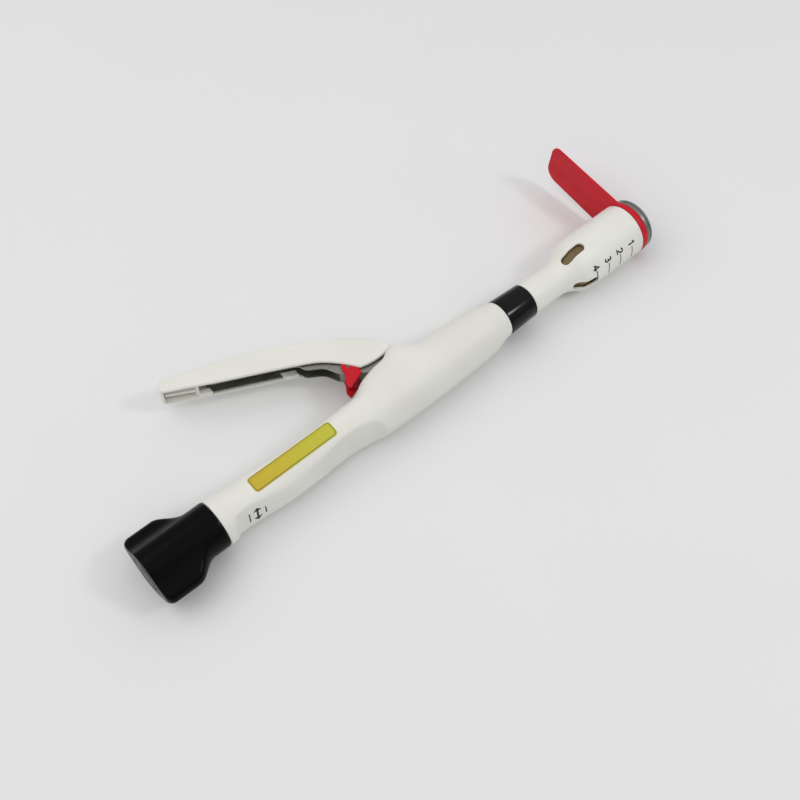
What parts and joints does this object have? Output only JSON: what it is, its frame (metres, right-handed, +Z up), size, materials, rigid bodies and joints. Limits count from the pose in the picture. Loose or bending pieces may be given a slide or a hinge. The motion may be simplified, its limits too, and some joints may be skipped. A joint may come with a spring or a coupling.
{
  "type": "circular stapler",
  "caption": "Surgical circular stapler with adjusting knob, squeeze handle with safety latch, windowed head casing, domed anvil and removable transport spacer.",
  "frame": {"origin": "centre of the bounding box at its bottom face, the surface that the instrument lies on", "axes": "+X along the instrument's axis towards the anvil, +Y towards the side of the squeeze handle, +Z up"},
  "size_m": [0.3728, 0.1136, 0.0379],
  "materials": {
    "white_plastic": "moulded ABS, satin gloss",
    "black_plastic": "moulded ABS, satin gloss",
    "red_plastic": "moulded polypropylene",
    "natural_plastic": "moulded polycarbonate or acetal, undyed",
    "tan_plastic": "moulded acetal, tan",
    "steel": "turned stainless steel",
    "sheet_steel": "pressed stainless sheet",
    "seal_rubber": "silicone"
  },
  "bodies": {
    "root": {"body_shell_upper": "white_plastic", "body_shell_lower": "white_plastic", "head_casing": "white_plastic", "lock_collar": "black_plastic", "staple_guide": "natural_plastic", "tube_bush": "natural_plastic", "return_spring": "steel", "handle_pin": "steel", "thrust_washer": "steel", "retaining_ring": "steel"},
    "pusher": {"push_tube": "steel", "drive_yoke": "steel", "staple_pusher": "tan_plastic", "circular_knife": "steel", "shaft_bush": "natural_plastic", "shaft_seal": "seal_rubber"},
    "anvil": {"anvil_cap": "steel", "anvil_plate": "steel", "cutting_washer": "natural_plastic", "anvil_shaft": "steel", "pull_rod": "steel", "screw_rod": "steel"},
    "spacer": {"transport_spacer": "red_plastic"},
    "knob": {"adjusting_knob": "black_plastic", "knob_end_cap": "black_plastic", "drive_nut": "steel", "thread_pin": "steel"},
    "handle": {"handle_cover": "white_plastic", "lever_core": "sheet_steel", "latch_pin": "steel"},
    "latch": {"safety_latch": "red_plastic"}
  },
  "joints": [
    {"name": "knob_turn", "type": "hinge", "parent": "root", "child": "knob", "pos_m": [-0.1414, -0.0338, 0.017], "axis": [1, 0, 0], "range_deg": [0, 1800]},
    {"name": "anvil_slide", "type": "slide", "parent": "root", "child": "anvil", "axis": [1, 0, 0], "range_m": [0, 0.045]},
    {"name": "handle_squeeze", "type": "hinge", "parent": "root", "child": "handle", "pos_m": [-0.0019, -0.0178, 0.017], "axis": [0, 0, 1], "range_deg": [0, 26], "stiffness_Nm_per_rad": 0.6},
    {"name": "push_slide", "type": "slide", "parent": "root", "child": "pusher", "axis": [1, 0, 0], "range_m": [0, 0.0073], "deforming": ["return_spring"]},
    {"name": "safety_flip", "type": "hinge", "parent": "handle", "child": "latch", "pos_m": [-0.0249, -0.0038, 0.017], "axis": [0, 0, 1], "range_deg": [-36, 0]},
    {"name": "spacer_lift", "type": "slide", "parent": "root", "child": "spacer", "axis": [0, 0, 1], "range_m": [0, 0.045]}
  ],
  "couplings": [
    {"joint": "knob_turn", "follows": "anvil_slide", "rad_per_m": 698.13},
    {"joint": "push_slide", "follows": "handle_squeeze", "m_per_rad": 0.016}
  ]
}
